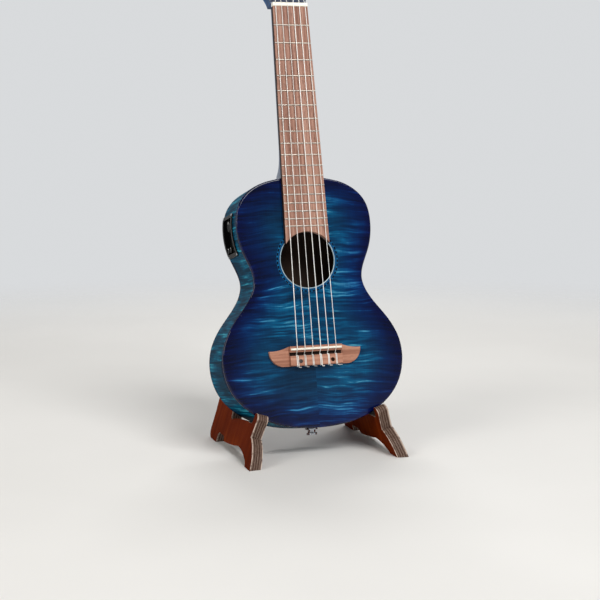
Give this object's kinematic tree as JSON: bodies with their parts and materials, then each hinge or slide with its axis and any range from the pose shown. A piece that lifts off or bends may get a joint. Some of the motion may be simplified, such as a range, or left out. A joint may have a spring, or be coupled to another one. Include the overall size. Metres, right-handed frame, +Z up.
{
  "type": "guitar on stand",
  "caption": "Small six-string nylon guitar with a blue flamed body and side preamp, leaning back in a folding A-frame stand of two hooked plywood legs.",
  "frame": {"origin": "on the floor under the middle of the whole object", "axes": "+Z up, the guitar faces -Y, +X to the right when seen from the front"},
  "size_m": [0.2364, 0.2345, 0.6831],
  "materials": {
    "plywood": "satin lacquer over birch plywood",
    "steel": "plated",
    "blue_maple_top": "gloss blue burst over flamed maple",
    "blue_maple_body": "gloss teal stain over flamed maple",
    "binding": "gloss, rounded",
    "rosette": "dark inlaid ring",
    "pale_wood": "raw",
    "neck_wood": "gloss dark blue stain",
    "head_veneer": "gloss blue stain",
    "walnut": "oiled, pale walnut",
    "fret_wire": "polished",
    "bone": "polished",
    "nylon": "clear nylon",
    "wound_string": "silver wound",
    "tuner_chrome": "polished",
    "tuner_buttons": "ivory gloss",
    "black_plastic": "satin",
    "circuit_board": "solder mask",
    "window": "dull display",
    "cable": "satin"
  },
  "bodies": {
    "stand_pivot": {"hinge_bolt": "steel", "hinge_nut": "steel", "hinge_washers": "steel"},
    "left_leg": {"stand_leg_left": "plywood"},
    "right_leg": {"stand_leg_right": "plywood"},
    "guitar": {"back_binding": "binding", "back_braces": "pale_wood", "back_panel": "blue_maple_body", "bridge": "walnut", "bridge_plate": "pale_wood", "bridge_screws": "steel", "coin_cells": "steel", "fingerboard": "walnut", "frets": "fret_wire", "head_veneer": "head_veneer", "jack_nut": "steel", "jack_sleeve": "steel", "linings": "pale_wood", "neck": "neck_wood", "neck_block": "pale_wood", "nut": "bone", "preamp_bezel": "black_plastic", "preamp_board": "circuit_board", "preamp_housing": "black_plastic", "preamp_screws": "steel", "preamp_window": "window", "rosette": "rosette", "saddle": "bone", "saddle_pickup": "cable", "side_rims": "blue_maple_body", "soundboard": "blue_maple_top", "string_1": "wound_string", "string_2": "wound_string", "string_3": "wound_string", "string_4": "nylon", "string_5": "nylon", "string_6": "nylon", "tail_block": "pale_wood", "top_binding": "binding", "top_braces": "pale_wood", "tuner_bushings": "tuner_chrome", "tuner_housings": "tuner_chrome", "tuner_screws": "steel", "wires": "cable"},
    "tuner_post_1": {"tuner_post_1": "tuner_chrome"},
    "tuner_post_2": {"tuner_post_2": "tuner_chrome"},
    "tuner_post_3": {"tuner_post_3": "tuner_chrome"},
    "tuner_post_4": {"tuner_post_4": "tuner_chrome"},
    "tuner_post_5": {"tuner_post_5": "tuner_chrome"},
    "tuner_post_6": {"tuner_post_6": "tuner_chrome"},
    "tuner_button_1": {"tuner_button_1": "tuner_buttons"},
    "tuner_button_2": {"tuner_button_2": "tuner_buttons"},
    "tuner_button_3": {"tuner_button_3": "tuner_buttons"},
    "tuner_button_4": {"tuner_button_4": "tuner_buttons"},
    "tuner_button_5": {"tuner_button_5": "tuner_buttons"},
    "tuner_button_6": {"tuner_button_6": "tuner_buttons"},
    "preamp_volume_knob": {"preamp_volume_knob": "black_plastic"},
    "preamp_bass_knob": {"preamp_bass_knob": "black_plastic"},
    "preamp_treble_knob": {"preamp_treble_knob": "black_plastic"},
    "preamp_button": {"preamp_button": "black_plastic"}
  },
  "joints": [
    {"name": "guitar_lift", "type": "slide", "parent": "stand_pivot", "child": "guitar", "axis": [0, 0.1874, 0.9823], "range_m": [0, 0.2]},
    {"name": "left_leg_fold", "type": "hinge", "parent": "stand_pivot", "child": "left_leg", "pos_m": [0, 0.0738, 0.279], "axis": [0, -1, 0], "range_deg": [0, 17.5]},
    {"name": "right_leg_fold", "type": "hinge", "parent": "stand_pivot", "child": "right_leg", "pos_m": [0, 0.0738, 0.279], "axis": [0, 1, 0], "range_deg": [0, 17.5]},
    {"name": "tuner_button_1_turn", "type": "hinge", "parent": "guitar", "child": "tuner_button_1", "pos_m": [-0.02, 0.0785, 0.5833], "axis": [-1, 0, 0], "continuous": true},
    {"name": "tuner_post_1_turn", "type": "hinge", "parent": "guitar", "child": "tuner_post_1", "pos_m": [-0.02, 0.05707, 0.58545], "axis": [0, -0.9044, 0.4267], "continuous": true},
    {"name": "tuner_button_2_turn", "type": "hinge", "parent": "guitar", "child": "tuner_button_2", "pos_m": [-0.02, 0.09471, 0.61767], "axis": [-1, 0, 0], "continuous": true},
    {"name": "tuner_post_2_turn", "type": "hinge", "parent": "guitar", "child": "tuner_post_2", "pos_m": [-0.02, 0.07328, 0.61982], "axis": [0, -0.9044, 0.4268], "continuous": true},
    {"name": "tuner_button_3_turn", "type": "hinge", "parent": "guitar", "child": "tuner_button_3", "pos_m": [-0.02, 0.11093, 0.65204], "axis": [-1, 0, 0], "continuous": true},
    {"name": "tuner_post_3_turn", "type": "hinge", "parent": "guitar", "child": "tuner_post_3", "pos_m": [-0.02, 0.0895, 0.65419], "axis": [0, -0.9044, 0.4267], "continuous": true},
    {"name": "tuner_button_4_turn", "type": "hinge", "parent": "guitar", "child": "tuner_button_4", "pos_m": [0.02, 0.0785, 0.5833], "axis": [1, 0, 0], "continuous": true},
    {"name": "tuner_post_4_turn", "type": "hinge", "parent": "guitar", "child": "tuner_post_4", "pos_m": [0.02, 0.05707, 0.58545], "axis": [0, -0.9044, 0.4267], "continuous": true},
    {"name": "tuner_button_5_turn", "type": "hinge", "parent": "guitar", "child": "tuner_button_5", "pos_m": [0.02, 0.09471, 0.61767], "axis": [1, 0, 0], "continuous": true},
    {"name": "tuner_post_5_turn", "type": "hinge", "parent": "guitar", "child": "tuner_post_5", "pos_m": [0.02, 0.07328, 0.61982], "axis": [0, -0.9044, 0.4268], "continuous": true},
    {"name": "tuner_button_6_turn", "type": "hinge", "parent": "guitar", "child": "tuner_button_6", "pos_m": [0.02, 0.11093, 0.65204], "axis": [1, 0, 0], "continuous": true},
    {"name": "tuner_post_6_turn", "type": "hinge", "parent": "guitar", "child": "tuner_post_6", "pos_m": [0.02, 0.0895, 0.65419], "axis": [0, -0.9044, 0.4267], "continuous": true},
    {"name": "preamp_volume_turn", "type": "hinge", "parent": "guitar", "child": "preamp_volume_knob", "pos_m": [-0.083, 0.02172, 0.27956], "axis": [-1, 0, 0], "range_deg": [0, 270]},
    {"name": "preamp_bass_turn", "type": "hinge", "parent": "guitar", "child": "preamp_bass_knob", "pos_m": [-0.083, 0.02263, 0.24853], "axis": [-1, 0, 0], "range_deg": [-140, 140]},
    {"name": "preamp_treble_turn", "type": "hinge", "parent": "guitar", "child": "preamp_treble_knob", "pos_m": [-0.083, 0.01241, 0.25093], "axis": [-1, 0, 0], "range_deg": [-140, 140]},
    {"name": "preamp_button_press", "type": "slide", "parent": "guitar", "child": "preamp_button", "axis": [1, 0, 0], "range_m": [0, 0.001], "stiffness_N_per_m": 300}
  ],
  "couplings": [
    {"joint": "left_leg_fold", "follows": "guitar_lift", "rad_per_m": 1.5272},
    {"joint": "right_leg_fold", "follows": "guitar_lift", "rad_per_m": 1.5272},
    {"joint": "tuner_post_1_turn", "follows": "tuner_button_1_turn", "ratio": -0.071429},
    {"joint": "tuner_post_2_turn", "follows": "tuner_button_2_turn", "ratio": -0.071429},
    {"joint": "tuner_post_3_turn", "follows": "tuner_button_3_turn", "ratio": -0.071429},
    {"joint": "tuner_post_4_turn", "follows": "tuner_button_4_turn", "ratio": 0.071429},
    {"joint": "tuner_post_5_turn", "follows": "tuner_button_5_turn", "ratio": 0.071429},
    {"joint": "tuner_post_6_turn", "follows": "tuner_button_6_turn", "ratio": 0.071429}
  ]
}
